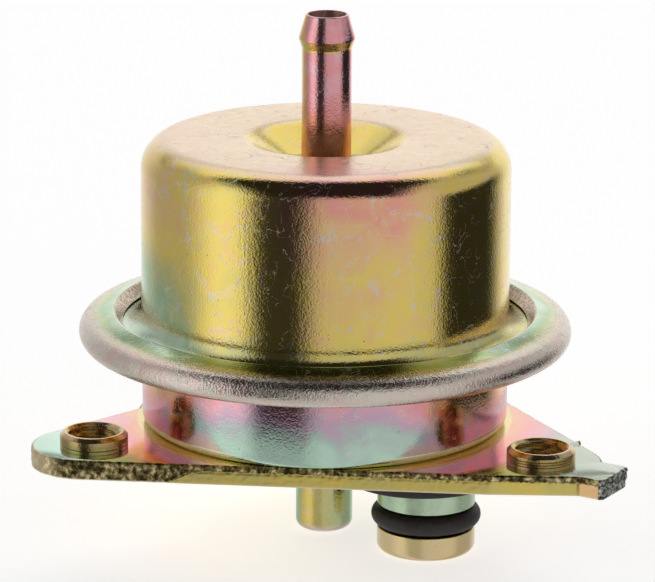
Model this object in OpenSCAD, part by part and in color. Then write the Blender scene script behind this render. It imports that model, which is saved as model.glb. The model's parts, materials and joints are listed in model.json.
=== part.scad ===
// Diaphragm fuel pressure regulator for an engine's fuel rail, in millimetres.
// Z is the axis of cap, cup and return tube, and the plate's underside lies at z = 0.
// X runs along the line through the two threaded collars.

/* [Mounting plate] */
// Thickness of the plate
plate_t = 2; // [1.6:0.1:2.6]
// Radius of the plate's round back, about the main axis
plate_r = 19.3; // [18.8:0.1:21]
// Distance between the two threaded holes
hole_spacing = 44.6; // [42:0.1:48]
// Offset of the hole pair's middle from the main axis, towards the tab
hole_shift = 0.4; // [0:0.1:0.8]
// Distance from the main axis to the line of the two holes
hole_setback = 12.4; // [11.8:0.1:14]
// Radius of the plain ear's round end
ear_r = 5.6; // [5:0.1:6.2]
// Distance of that round end's centre past its hole
ear_over = 0.7; // [0:0.1:1.2]
// Radius of the ear that carries the cut-off tab
tab_ear_r = 6.1; // [5.8:0.1:6.5]
// Slope of the plain ear's back edge
ear_edge_angle = 50; // [44:1:56]
// Outer diameter of a threaded collar
collar_od = 6.8; // [6.4:0.1:7.6]
// Height of a collar above the plate
collar_h = 1.45; // [1:0.05:2]
// Bevel round a collar's outer top edge
collar_bevel = 0.4; // [0.2:0.05:0.5]
// Bevel at a collar's mouth
mouth_bevel = 0.25; // [0.1:0.05:0.4]
// Nominal diameter of the screw thread
thread_d = 5; // [4:0.5:5]
// Distance of the tab's root past the tab's hole
tab_root = 3.9; // [3.2:0.1:4.4]
// Length of the front edge's last stretch, which runs back to the tab's root
front_run = 8.6; // [7:0.1:10]
// Length of the cut-off tab from its hole
tab_reach = 8.3; // [7.2:0.1:9.6]
// Width of the cut-off tab
tab_w = 5.7; // [4.5:0.1:6.5]
// Direction of the tab, below the line of the holes
tab_angle = 25; // [18:1:30]

/* [Fuel cup and rolled rim] */
// Outer diameter of the cup's wall
cup_od = 37.2; // [36:0.1:38]
// Sheet thickness of the cup
cup_t = 0.8; // [0.7:0.05:1]
// Height of the rim's underside above the plate
cup_h = 8.1; // [7.2:0.05:9]
// Outer radius of the cup's bottom corner
cup_corner_r = 0.85; // [0.8:0.05:1.2]
// Radius of the hollow where the wall turns into the flange
cup_neck_r = 0.8; // [0.5:0.1:1.2]
// Outer diameter of the rolled rim
rim_od = 50; // [49:0.1:52]
// Outer radius of the rim's lower turn
rim_low_r = 1.35; // [1.1:0.05:1.4]
// Outer radius of the rim's upper turn
rim_high_r = 1.6; // [1.3:0.05:1.65]
// Rise of the folded-over lip towards the cap
fold_slope = 15; // [10:1:18]
// Gap between the cap's wall and the lip's cut edge
lip_gap = 1.85; // [1.5:0.05:2.2]
// Radial width of the lip's slanted cut edge
lip_bevel = 0.9; // [0.6:0.05:1]

/* [Spring cap] */
// Outer diameter of the cap's wall
cap_od = 37.3; // [36.5:0.1:38]
// Sheet thickness of the cap
cap_t = 0.8; // [0.7:0.05:1]
// Height of the cap, from its flange's underside to its top
cap_h = 19.8; // [18:0.1:24]
// Radial room that the rim's turn takes outside the cap's flange
rim_wrap = 1.8; // [1.6:0.05:2.2]
// Outer radius of the cap's top edge
cap_top_r = 3; // [2:0.1:4]
// Radius of the hollow at the cap's foot
cap_foot_r = 1.8; // [1.4:0.1:2]
// Diameter of the dimple at the cap's top
dimple_d = 16.2; // [15:0.1:17]
// Diameter of the dimple's flat floor
dimple_floor_d = 8.2; // [7.6:0.1:9]
// Depth of the dimple
dimple_depth = 2.5; // [1.8:0.1:3]
// Rounding of the dimple's edge and floor
dimple_r = 2.6; // [1.6:0.1:2.8]

/* [Vacuum nipple] */
// Outer diameter of the nipple's stem
nipple_od = 5; // [4.6:0.1:5.6]
// Diameter of the nipple's bore
nipple_bore = 3; // [2.4:0.1:3.4]
// Height of the nipple's tip above the cap's top
nipple_h = 12.6; // [11:0.1:16]
// Largest diameter of the hose barb
barb_d = 5.7; // [5.5:0.05:6.4]
// Diameter of the nipple's tip
tip_d = 4.3; // [4:0.05:4.5]
// Length of the barb's leading taper
barb_l = 2.4; // [1.8:0.1:3]
// Length of the barb's back slope
barb_back_l = 1; // [0.5:0.1:1.4]
// Diameter of the brazing flange under the dimple
nipple_flange_d = 8; // [7:0.1:8.4]

/* [Return tube and valve seat] */
// Outer diameter of the return tube
tube_od = 5.8; // [5.4:0.1:6.2]
// Length of the return tube below the plate
tube_l = 9.8; // [8:0.05:14]
// Bore of the return tube
tube_bore = 3.2; // [2.8:0.1:3.4]
// Diameter of the tube's neck through plate and cup
tube_neck_d = 4.9; // [4.5:0.1:5]
// Rounding of the tube's free end
tube_end_r = 0.9; // [0.5:0.05:1]
// Radial width of the beads that hold tube and spigot in the cup
bead_w = 0.8; // [0.5:0.05:1]
// Height of the valve seat's head
seat_head_h = 1.2; // [0.8:0.1:1.6]
// Bore of the valve seat
seat_bore = 1.8; // [1.4:0.1:2]

/* [Inlet spigot] */
// Direction of the spigot from the main axis, below the line of the holes
spigot_angle = 26.6; // [22:0.2:32]
// Gap between the spigot's bead and the round of the cup's corner
bead_gap = 1.45; // [1.1:0.05:1.7]
// Outer diameter of the spigot
spigot_od = 9.9; // [9.6:0.1:10.4]
// Length of the spigot below the plate
spigot_l = 9.95; // [9.4:0.05:11]
// Bore of the spigot
spigot_bore = 4.6; // [3.8:0.1:4.8]
// Diameter of the spigot's neck through plate and cup
spigot_neck_d = 6.6; // [6.2:0.1:7]
// Rounding of the spigot's nose
nose_r = 0.8; // [0.4:0.1:1]
// Distance of the groove's middle below the plate
groove_drop = 6.2; // [6:0.05:6.4]
// Width of the seal groove
groove_w = 2.4; // [2.3:0.05:2.8]
// Section of the seal ring
ring_d = 2; // [1.8:0.05:2.1]
// Outer diameter of the seal ring
ring_od = 11.1; // [10.9:0.1:11.4]
// How far the loose rubber washer under the plate sits off the spigot's axis
washer_shift = 0.55; // [0.3:0.05:0.7]
// Gap between the rubber washer and the return tube
washer_gap = 0.7; // [0.65:0.05:1.2]
// Thickness of the rubber washer
washer_t = 2.2; // [1.8:0.1:2.6]
// Depth of the seat for the strainer
strainer_h = 1.3; // [1:0.1:1.5]
// Diameter of the strainer
strainer_d = 6.8; // [6.2:0.1:7.2]
// Wall of the strainer's ring
strainer_wall = 0.7; // [0.5:0.05:0.9]
// Diameter of a hole in the strainer
gauze_hole_d = 0.55; // [0.4:0.05:0.7]
// Distance between the strainer's rings of holes
gauze_pitch = 1.1; // [0.9:0.05:1.2]

/* [Diaphragm and valve] */
// Thickness of the diaphragm
membrane_t = 0.5; // [0.4:0.05:0.6]
// How far the closed valve holds the diaphragm's middle below its rim
middle_drop = 0.8; // [0.6:0.05:1]
// Diameter of the backing plate under the diaphragm
backing_d = 26.4; // [25:0.1:27]
// Sheet thickness of backing plate and spring plate
disc_t = 0.8; // [0.6:0.05:1]
// Height of the spring plate's rim
spring_plate_h = 2.6; // [2.2:0.1:3.4]
// Diameter of the valve holder below the diaphragm
holder_d = 8.4; // [7.4:0.1:10]
// Height of the valve holder below the backing plate
holder_h = 1.8; // [1.6:0.05:2.2]
// Diameter of the valve holder's stem
stem_d = 5.6; // [5.2:0.1:6]
// Height of the stem's riveted head
head_h = 0.75; // [0.6:0.05:1]
// Diameter of the valve ball
ball_d = 3.5; // [3.3:0.05:3.6]
// Diameter of the flat ground on the ball
ball_flat_d = 2.6; // [2.4:0.05:2.7]
// How far the ball's flat stands out of its holder
ball_proud = 0.2; // [0.15:0.05:0.3]
// Thickness of the ball's retaining ring
retainer_t = 0.3; // [0.25:0.05:0.35]

/* [Springs] */
// Wire of the main spring
main_wire = 2.4; // [2:0.1:2.8]
// Mean diameter of the main spring
main_d = 23; // [22:0.1:23.6]
// Turns of the main spring
main_turns = 6; // [5:0.5:6.5]
// Wire of the ball's spring
small_wire = 0.25; // [0.2:0.01:0.28]
// Mean diameter of the ball's spring
small_d = 1.3; // [1.2:0.05:1.4]
// Turns of the ball's spring
small_turns = 3.5; // [3:0.5:4]
// Length of the ball's spring
small_l = 1.25; // [1.15:0.05:1.4]

/* [Clearances] */
// Gap of a pressed, brazed or swaged fit
fit_gap = 0.03; // [0.01:0.01:0.06]
// Gap between the ball's flat and the closed valve seat
seat_gap = 0.05; // [0.02:0.01:0.1]
// Gap round the valve ball in its socket
ball_gap = 0.05; // [0.03:0.01:0.08]
// Gap between a spring's end and its seat
spring_gap = 0.05; // [0.02:0.01:0.1]
// Gap between the main spring and the spring plate's rim
dish_gap = 0.7; // [0.5:0.05:0.9]
// Gap between the diaphragm's fold and the walls on both its sides
fold_gap = 0.15; // [0.1:0.05:0.3]

/* [Hidden] */
$fn = 96;

gold = [0.78, 0.68, 0.36];
rose = [0.78, 0.60, 0.55];
mint = [0.68, 0.76, 0.62];
steel = [0.62, 0.63, 0.65];
black = [0.06, 0.06, 0.065];
amber = [0.55, 0.38, 0.20];

// A length that reaches past any outline here, and a small step that makes a cut pass its face
far = 100;
eps = 0.01;
// Largest angle of one step round a bend, and the largest share of a run that one bend takes
bend_step = 7.5;
bend_share = 0.49;
// Shares of its wire that a spring's end is ground by and that a closed turn rises by
ground_share = 0.3;
closed_share = 1.03;

// Levels of the stack, from the plate's underside upwards
cup_floor_top = plate_t + cup_t;
flange_low = plate_t + cup_h;
membrane_low = flange_low + cup_t;
cap_low = membrane_low + membrane_t;
cap_flange_top = cap_low + cap_t;
cap_top = cap_low + cap_h;
cap_roof = cap_top - cap_t;
dimple_floor_top = cap_top - dimple_depth;
nipple_top = cap_top + nipple_h;

// The diaphragm's middle and the valve that hangs from it
middle_low = membrane_low - middle_drop;
middle_top = middle_low + membrane_t;
backing_low = middle_low - disc_t;
spring_seat_z = middle_top + disc_t;
head_top = spring_seat_z + head_h;
holder_low = backing_low - holder_h;
flat_z = holder_low - ball_proud;
ball_r = ball_d / 2;
ball_z = flat_z + sqrt(pow(ball_r, 2) - pow(ball_flat_d / 2, 2));
seat_top = flat_z - seat_gap;
tube_top = seat_top - seat_head_h;
stem_hole_d = stem_d + 2 * fit_gap;

// The ball's spring rests on the ball, in a pocket of the holder
small_rest = sqrt(pow(ball_r + small_wire / 2, 2) - pow(small_d / 2, 2)) - ground_share * small_wire;
small_low = ball_z + small_rest + spring_gap;
pocket_top = small_low + small_l + spring_gap;

// Middle lines of the two bent sheets
cup_mid_r = cup_od / 2 - cup_t / 2;
cup_corner = max(cup_corner_r, cup_t + fit_gap);
rim_mid_r = rim_od / 2 - cup_t / 2;
flange_mid_z = flange_low + cup_t / 2;
cap_mid_r = cap_od / 2 - cap_t / 2;
cap_flange_r = rim_od / 2 - rim_wrap;
cap_bore_r = cap_od / 2 - cap_t;
spring_plate_r = (main_d + main_wire) / 2 + dish_gap + disc_t;
lip_end_r = cap_od / 2 + lip_gap;
lip_r = lip_end_r + lip_bevel;

// The fold clears the flange's upper corner by the fit gap, and rises from there
fold_half = cup_t / 2 / cos(fold_slope);
fold_start_z = cap_flange_top + fit_gap + fold_half - (rim_mid_r - cap_flange_r) * tan(fold_slope);
rim_room = fold_start_z - flange_mid_z;
rim_low_bend = min(rim_low_r - cup_t / 2, bend_share * rim_room);
rim_high_bend = min(rim_high_r - cup_t / 2, bend_share * rim_room / tan(45 - fold_slope / 2));

// Threaded collars and the plate's outline
hole_x = hole_spacing / 2;
plain_hole = [hole_shift - hole_x, -hole_setback];
tab_hole = [hole_shift + hole_x, -hole_setback];
plate_front_y = -hole_setback - ear_r;
tab_foot = tab_hole + [tab_root, -tab_w / 2 / cos(tab_angle) - tab_root * tan(tab_angle)];
front_corner = [tab_foot[0] - front_run, plate_front_y];

// The spigot stands as far out as its bead fits on the cup's flat floor
spigot_bead_r = spigot_neck_d / 2 + bead_w;
spigot_reach = cup_od / 2 - cup_corner - bead_gap - spigot_bead_r;
spigot_at = [spigot_reach * cos(spigot_angle), -spigot_reach * sin(spigot_angle), 0];
washer_at = spigot_at - [washer_shift, 0, 0];
washer_r = norm(washer_at) - tube_od / 2 - washer_gap;

function along(a) = [cos(a), sin(a)];
function heading(v) = atan2(v[1], v[0]);
function turn(a) = a > 180 ? a - 360 : (a < -180 ? a + 360 : a);

// Quarter of a disc that rounds a turned piece's outer lower edge
module round_edge(r) {
    intersection() {
        circle(r);
        translate([0, -r])
            square(r);
    }
}

// Points of an arc about a centre, from angle a0 over the sweep
function arc(centre, r, a0, sweep) =
    let (steps = max(2, ceil(abs(sweep) / bend_step)))
    [for (k = [0 : steps]) centre + r * along(a0 + sweep * k / steps)];

// One face of a bent sheet, at a distance to the left of its middle line
function sheet_face(path, bends, headings, turns, off) =
    let (last = len(path) - 1)
    concat(
        [path[0] + off * along(headings[0] + 90)],
        [for (i = [1 : last - 1])
            let (side = sign(turns[i]), back = bends[i] * tan(abs(turns[i]) / 2),
                 start = path[i] - back * along(headings[i - 1]),
                 centre = start + side * bends[i] * along(headings[i - 1] + 90))
            each arc(centre, bends[i] - side * off, headings[i - 1] - side * 90, turns[i])],
        [path[last] + off * along(headings[last - 1] + 90)]);

// Section of a bent sheet: straight runs along the path's middle line, joined by round bends
module bent_sheet(path, bends, t) {
    last = len(path) - 1;
    headings = [for (i = [0 : last - 1]) heading(path[i + 1] - path[i])];
    turns = [for (i = [0 : last]) i == 0 || i == last ? 0 : turn(headings[i] - headings[i - 1])];
    right_face = sheet_face(path, bends, headings, turns, -t / 2);
    polygon(concat(sheet_face(path, bends, headings, turns, t / 2),
                   [for (i = [len(right_face) - 1 : -1 : 0]) right_face[i]]));
}

// A plain turned ring between two radii and two levels
module turned(r_in, r_out, low, high) {
    translate([r_in, low])
        square([r_out - r_in, high - low]);
}

// Sheared outline: round back, two ears, front edge and the stub of the carrier strip
module plate_outline() {
    span = norm(tab_hole);
    tab_side = along(acos((plate_r - tab_ear_r) / span) + heading(tab_hole));
    ear = plain_hole - [ear_over, 0];
    ear_side = along(ear_edge_angle + 90);
    ear_foot = (ear * ear_side + ear_r) * ear_side;
    tab_middle = tab_hole + tab_root * along(-tab_angle);
    // The blank reaches past the front edge by the plate's thickness, and is cut back to it
    intersection() {
        union() {
            circle(plate_r);
            translate(ear)
                circle(ear_r);
            translate(tab_hole)
                circle(tab_ear_r);
            polygon([ear, ear - [0, ear_r + plate_t], tab_foot + [plate_t, -plate_t], tab_middle,
                     tab_hole + tab_ear_r * tab_side, plate_r * tab_side, ear_foot, ear + ear_r * ear_side]);
        }
        polygon([[-far, plate_front_y], front_corner, front_corner + far * (tab_foot - front_corner),
                 [far, far], [-far, far]]);
    }
    translate(tab_hole)
        rotate(-tab_angle)
            translate([0, -tab_w / 2])
                square([tab_reach, tab_w]);
}

// Extruded collar with a bevelled crown
module collar() {
    collar_r = collar_od / 2;
    cylinder(r = collar_r, h = plate_t + collar_h - collar_bevel);
    translate([0, 0, plate_t + collar_h - collar_bevel])
        cylinder(r1 = collar_r, r2 = collar_r - collar_bevel, h = collar_bevel);
}

// Hole at the thread's nominal diameter, bevelled at both mouths
module screw_hole() {
    thread_r = thread_d / 2;
    top = plate_t + collar_h;
    translate([0, 0, -eps])
        cylinder(r = thread_r, h = top + 2 * eps);
    translate([0, 0, top - mouth_bevel])
        cylinder(r1 = thread_r, r2 = thread_r + mouth_bevel + eps, h = mouth_bevel + eps);
    translate([0, 0, -eps])
        cylinder(r1 = thread_r + mouth_bevel + eps, r2 = thread_r, h = mouth_bevel + eps);
}

module mounting_plate() {
    color(rose) difference() {
        union() {
            linear_extrude(plate_t)
                plate_outline();
            for (place = [plain_hole, tab_hole])
                translate(place)
                    collar();
        }
        for (place = [plain_hole, tab_hole])
            translate(place)
                screw_hole();
        translate([0, 0, -eps])
            cylinder(d = tube_neck_d + 2 * fit_gap, h = plate_t + 2 * eps);
        translate(spigot_at - [0, 0, eps])
            cylinder(d = spigot_neck_d + 2 * fit_gap, h = plate_t + 2 * eps);
    }
}

// Wedge that trims the lip's end to its slanted cut edge
module lip_trim() {
    lip_top = [lip_r, fold_start_z + (rim_mid_r - lip_r) * tan(fold_slope) + fold_half];
    lip_foot = [lip_end_r, fold_start_z + (rim_mid_r - lip_end_r) * tan(fold_slope) - fold_half];
    polygon([lip_top, lip_top + [0, cup_t], lip_foot + [-cup_t, 2 * cup_t], lip_foot - [cup_t, cup_t],
             lip_foot - [0, cup_t], lip_foot]);
}

module fuel_cup() {
    lip_start_r = lip_end_r - cup_t / 2;
    path = [[0, plate_t + cup_t / 2], [cup_mid_r, plate_t + cup_t / 2], [cup_mid_r, flange_mid_z],
            [rim_mid_r, flange_mid_z], [rim_mid_r, fold_start_z],
            [lip_start_r, fold_start_z + (rim_mid_r - lip_start_r) * tan(fold_slope)]];
    bends = [0, cup_corner - cup_t / 2, cup_neck_r + cup_t / 2, rim_low_bend, rim_high_bend, 0];
    color(rose) difference() {
        rotate_extrude() difference() {
            bent_sheet(path, bends, cup_t);
            lip_trim();
        }
        translate([0, 0, plate_t - eps])
            cylinder(d = tube_neck_d + 2 * fit_gap, h = cup_t + 2 * eps);
        translate(spigot_at + [0, 0, plate_t - eps])
            cylinder(d = spigot_neck_d + 2 * fit_gap, h = cup_t + 2 * eps);
    }
}

module spring_cap() {
    path = [[cap_flange_r, cap_low + cap_t / 2], [cap_mid_r, cap_low + cap_t / 2],
            [cap_mid_r, cap_top - cap_t / 2], [dimple_d / 2, cap_top - cap_t / 2],
            [dimple_floor_d / 2, dimple_floor_top - cap_t / 2],
            [nipple_od / 2 + fit_gap, dimple_floor_top - cap_t / 2]];
    bends = [0, cap_foot_r + cap_t / 2, cap_top_r - cap_t / 2, dimple_r, dimple_r, 0];
    color(gold) rotate_extrude()
        bent_sheet(path, bends, cap_t);
}

module vacuum_nipple() {
    flange_top = dimple_floor_top - cap_t;
    flange_bottom = flange_top - cap_t;
    barb_z = nipple_top - barb_l;
    bore_r = nipple_bore / 2;
    stem_r = nipple_od / 2;
    tip_bevel = (tip_d - nipple_bore) / 4;
    color(rose) rotate_extrude()
        polygon([[bore_r, flange_bottom], [nipple_flange_d / 2, flange_bottom],
                 [nipple_flange_d / 2, flange_top], [stem_r, flange_top], [stem_r, barb_z - barb_back_l],
                 [barb_d / 2, barb_z], [tip_d / 2, nipple_top], [bore_r + tip_bevel, nipple_top],
                 [bore_r, nipple_top - tip_bevel]]);
}

// Tube with a shoulder under the plate and a swaged bead on the cup's floor
module return_tube() {
    tube_r = tube_od / 2;
    bore_r = tube_bore / 2;
    neck_r = tube_neck_d / 2;
    color(gold) rotate_extrude() {
        turned(bore_r, tube_r, tube_end_r - tube_l, 0);
        turned(bore_r, tube_r - tube_end_r, -tube_l, tube_end_r - tube_l);
        translate([tube_r - tube_end_r, tube_end_r - tube_l])
            round_edge(tube_end_r);
        turned(bore_r, neck_r, 0, tube_top);
        turned(neck_r, neck_r + bead_w, cup_floor_top, cup_floor_top + cup_t);
    }
}

// Turned insert in the tube's mouth, with a raised lip for the ball's flat
module valve_seat() {
    hole_r = seat_bore / 2;
    lip_r_out = (seat_bore + ball_flat_d) / 4;
    lip_h = seat_head_h / 4;
    color(steel) rotate_extrude() {
        turned(hole_r, tube_neck_d / 2, tube_top, seat_top - lip_h);
        turned(hole_r, lip_r_out, seat_top - lip_h, seat_top);
        turned(hole_r, tube_bore / 2 - fit_gap, tube_top - seat_head_h, tube_top);
    }
}

// Spigot with a seal groove, a neck through washer, plate and cup, and a swaged bead
module inlet_spigot() {
    out_r = spigot_od / 2;
    bore_r = spigot_bore / 2;
    neck_r = spigot_neck_d / 2;
    groove_r = ring_od / 2 - ring_d - fit_gap;
    groove_low = -groove_drop - groove_w / 2;
    seat_r = strainer_d / 2 + fit_gap;
    color(mint) translate(spigot_at) rotate_extrude() difference() {
        union() {
            turned(bore_r, out_r - nose_r, -spigot_l, nose_r - spigot_l);
            translate([out_r - nose_r, nose_r - spigot_l])
                round_edge(nose_r);
            turned(bore_r, out_r, nose_r - spigot_l, -washer_t);
            turned(bore_r, neck_r, -washer_t, cup_floor_top);
            turned(bore_r, spigot_bead_r, cup_floor_top, cup_floor_top + cup_t);
        }
        turned(groove_r, out_r + eps, groove_low, groove_low + groove_w);
        turned(0, seat_r, -spigot_l - eps, strainer_h - spigot_l);
    }
}

module spigot_o_ring() {
    color(black) translate(spigot_at - [0, 0, groove_drop]) rotate_extrude()
        translate([(ring_od - ring_d) / 2, 0])
            circle(d = ring_d);
}

module seal_washer() {
    color(black) translate(washer_at) rotate_extrude()
        turned(spigot_neck_d / 2 + washer_shift + fit_gap, washer_r, -washer_t, 0);
}

// Perforated disc in a ring, seated in the spigot's mouth
module inlet_strainer() {
    gauze_t = strainer_h / 4;
    gauze_r = strainer_d / 2 - strainer_wall;
    rings = floor((gauze_r - gauze_hole_d / 2) / gauze_pitch);
    color(steel) translate(spigot_at - [0, 0, spigot_l]) difference() {
        cylinder(d = strainer_d, h = strainer_h);
        translate([0, 0, -eps])
            cylinder(r = gauze_r, h = strainer_h - gauze_t + eps);
        cylinder(d = gauze_hole_d, h = strainer_h + eps);
        for (ring = [1 : rings])
            for (k = [1 : 6 * ring])
                rotate(k * 60 / ring)
                    translate([ring * gauze_pitch, 0, 0])
                        cylinder(d = gauze_hole_d, h = strainer_h + eps);
    }
}

// Rubberised fabric: clamped rim, one round fold beside the cap's wall and a middle held by the valve
module diaphragm() {
    mid = membrane_t / 2;
    flange_z = membrane_low + mid;
    middle_z = middle_low + mid;
    inner_leg_r = spring_plate_r + fold_gap + mid;
    outer_leg_r = cap_bore_r - fold_gap - mid;
    crown_bend = bend_share * (outer_leg_r - inner_leg_r);
    foot_bend = membrane_t;
    crown_z = flange_z + foot_bend + crown_bend + mid;
    path = [[stem_hole_d / 2, middle_z], [inner_leg_r, middle_z], [inner_leg_r, crown_z],
            [outer_leg_r, crown_z], [outer_leg_r, flange_z], [cap_flange_r, flange_z]];
    color(amber) rotate_extrude()
        bent_sheet(path, [0, foot_bend, crown_bend, crown_bend, foot_bend, 0], membrane_t);
}

module backing_plate() {
    color(steel) rotate_extrude()
        turned(stem_hole_d / 2, backing_d / 2, backing_low, middle_low);
}

// Pressed dish that spreads the spring's load on the diaphragm
module spring_plate() {
    rim_mid = spring_plate_r - disc_t / 2;
    path = [[stem_hole_d / 2, middle_top + disc_t / 2], [rim_mid, middle_top + disc_t / 2],
            [rim_mid, middle_top + spring_plate_h]];
    color(steel) rotate_extrude()
        bent_sheet(path, [0, disc_t, 0], disc_t);
}

// Turned holder, riveted over the spring plate, with a socket for ball and spring
module valve_holder() {
    socket_r = ball_r + ball_gap;
    cavity_r = (small_d + small_wire) / 2 + ball_gap;
    head_r = stem_d / 2 + head_h;
    color(steel) rotate_extrude() difference() {
        union() {
            turned(0, holder_d / 2, holder_low, backing_low);
            turned(0, stem_d / 2, backing_low, head_top);
            turned(0, head_r, spring_seat_z, head_top);
        }
        turned(0, socket_r, holder_low - eps, ball_z + ball_r + ball_gap);
        turned(0, socket_r + retainer_t, holder_low - eps, holder_low + retainer_t);
        turned(0, cavity_r, ball_z, pocket_top);
    }
}

module valve_ball() {
    color(steel) translate([0, 0, ball_z]) intersection() {
        sphere(d = ball_d);
        translate([0, 0, flat_z - ball_z])
            cylinder(d = 2 * ball_d, h = 2 * ball_d);
    }
}

// Ring that holds the ball in its socket by the ball's lower half
module ball_retainer() {
    reach = ball_z - holder_low - retainer_t;
    hole_r = sqrt(pow(ball_r, 2) - pow(reach, 2)) + fit_gap;
    color(steel) rotate_extrude()
        turned(hole_r, ball_r + ball_gap + retainer_t - fit_gap, holder_low, holder_low + retainer_t);
}

// Height of a coil's centre line after a number of turns, with one closed turn at each end
function coil_rise(u, turns, closed, pitch) =
    u < 1 ? u * closed : (u > turns - 1 ? closed + (turns - 2) * pitch + (u - turns + 1) * closed
                                        : closed + (u - 1) * pitch);

// Round wire on a helix between two levels, its ends ground flat on both
module coil(mean_d, wire, turns, low, high, per_turn, sides) {
    ground = ground_share * wire;
    closed = closed_share * wire;
    rise = high - low - 2 * ground;
    pitch = (rise - 2 * closed) / (turns - 2);
    steps = round(turns * per_turn);
    points = [for (i = [0 : steps], k = [0 : sides - 1])
        let (u = turns * i / steps, a = 360 * u, b = 360 * (k + 0.5) / sides,
             r = mean_d / 2 + wire / 2 * cos(b),
             z = low + ground + coil_rise(u, turns, closed, pitch) + wire / 2 * sin(b))
        [r * cos(a), r * sin(a), min(max(z, low), high)]];
    sides_list = [for (i = [0 : steps - 1], k = [0 : sides - 1])
        let (n = (k + 1) % sides)
        [i * sides + k, (i + 1) * sides + k, (i + 1) * sides + n, i * sides + n]];
    first_end = [for (k = [0 : sides - 1]) k];
    last_end = [for (k = [sides - 1 : -1 : 0]) steps * sides + k];
    polyhedron(points, concat(sides_list, [first_end, last_end]));
}

module ball_spring() {
    color(steel) coil(small_d, small_wire, small_turns, small_low, small_low + small_l, 16, 8);
}

module main_spring() {
    low = spring_seat_z + spring_gap;
    color(steel) coil(main_d, main_wire, main_turns, low, cap_roof - spring_gap, 22, 10);
}

mounting_plate();
fuel_cup();
spring_cap();
vacuum_nipple();
return_tube();
valve_seat();
inlet_spigot();
spigot_o_ring();
seal_washer();
inlet_strainer();
diaphragm();
backing_plate();
spring_plate();
valve_holder();
valve_ball();
ball_spring();
ball_retainer();
main_spring();
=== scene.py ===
# %% [markdown]
# # A fuel pressure regulator
# The object is a small can of drawn steel: a cup and a cap clamp a rubber diaphragm in a rolled
# rim. A hose nipple stands on top, a return tube and a sealed inlet spigot hang below, and a
# sheared plate with two threaded collars fixes it to a fuel rail. All of it is zinc plated, and a
# yellow chromate film gives the steel its gold, pink and green tints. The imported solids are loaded
# first. They are the fixed frame that every new piece is fitted to.

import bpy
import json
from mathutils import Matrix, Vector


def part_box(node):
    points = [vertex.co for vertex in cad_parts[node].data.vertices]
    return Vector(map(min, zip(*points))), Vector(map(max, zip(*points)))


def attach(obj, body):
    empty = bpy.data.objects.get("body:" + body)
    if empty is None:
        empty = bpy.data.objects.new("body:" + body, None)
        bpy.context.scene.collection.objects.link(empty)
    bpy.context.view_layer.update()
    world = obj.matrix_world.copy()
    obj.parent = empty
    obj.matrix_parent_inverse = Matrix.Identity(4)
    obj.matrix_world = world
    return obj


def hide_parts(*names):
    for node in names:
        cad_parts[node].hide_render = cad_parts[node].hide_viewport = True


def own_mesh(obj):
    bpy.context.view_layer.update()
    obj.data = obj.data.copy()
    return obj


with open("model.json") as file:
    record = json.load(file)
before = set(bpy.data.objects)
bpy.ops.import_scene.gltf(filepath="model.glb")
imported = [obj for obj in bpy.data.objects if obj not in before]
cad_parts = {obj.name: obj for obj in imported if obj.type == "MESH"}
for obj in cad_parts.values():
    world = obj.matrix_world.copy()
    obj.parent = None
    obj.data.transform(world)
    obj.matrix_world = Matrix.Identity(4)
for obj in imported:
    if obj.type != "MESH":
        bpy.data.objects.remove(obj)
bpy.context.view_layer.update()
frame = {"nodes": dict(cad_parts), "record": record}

import json
import math

import bmesh
import bpy
from mathutils import Matrix, Vector, noise

# %% [markdown]
# ## Sizes
# The script works in millimetres and scales each finished mesh to metres. Places come from the
# frame: the mounts give the screw holes and the spigot's axis, and the nodes' boxes give the
# levels. Radii of walls, bends and other small details are written as numbers.

# %% Sizes from the frame and the sheet metal's own values
MM = 0.001


def low_mm(node):
    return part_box(node)[0] / MM


def high_mm(node):
    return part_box(node)[1] / MM


mounts = {mount["name"]: mount for mount in frame["record"]["mounts"]}
screw = mounts["screw_holes"]
screw_middle = Vector(screw["pos_m"]) / MM
half_pitch = screw["dims"]["spacing_x_mm"] / 2
thread_r = screw["dims"]["hole_r_mm"]
plain_hole = Vector((screw_middle.x - half_pitch, screw_middle.y, 0))
tab_hole = Vector((screw_middle.x + half_pitch, screw_middle.y, 0))
spigot_at = Vector(mounts["inlet_nose"]["pos_m"]) / MM
spigot_at.z = 0

plate_t = low_mm("fuel_cup").z
collar_top = high_mm("mounting_plate").z
cap_top = high_mm("spring_cap").z
cap_low = low_mm("spring_cap").z
rim_r = high_mm("fuel_cup").x
flange_r = high_mm("spring_cap").x
nipple_top = high_mm("vacuum_nipple").z
spigot_low = low_mm("inlet_spigot").z
tube_low = low_mm("return_tube").z

sheet_t = 0.8
cup_r = 18.6
cap_r = 18.65
fit_gap = 0.03
print("plate", plate_t, "rim radius", round(rim_r, 2), "cap top", round(cap_top, 2))

# %% [markdown]
# ## Turning a section
# Nearly every piece here is round, so it is made as on a lathe: a few corners of its section are
# drawn in the XZ plane, each corner is rounded by a vertex bevel, and the loop is spun once round
# an axis. A ready cylinder would be quicker, but it has no bends, grooves or bevels to catch the
# light.

# %% Helpers for turned pieces
TURN_STEPS = 144
BEND_STEP = 9
SHARP_ANGLE = math.radians(32)
WELD = 1e-4


def draw_section(corners, closed=True):
    """A wire of (radius, height, rounding) corners in the XZ plane."""
    bm = bmesh.new()
    verts = [bm.verts.new((r, 0, z)) for r, z, _ in corners]
    last = len(verts) if closed else len(verts) - 1
    for i in range(last):
        bm.edges.new((verts[i], verts[(i + 1) % len(verts)]))
    for vert, (_, _, rounding) in zip(verts, corners):
        if rounding and len(vert.link_edges) == 2:
            round_corner(bm, vert, rounding)
    return bm


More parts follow.
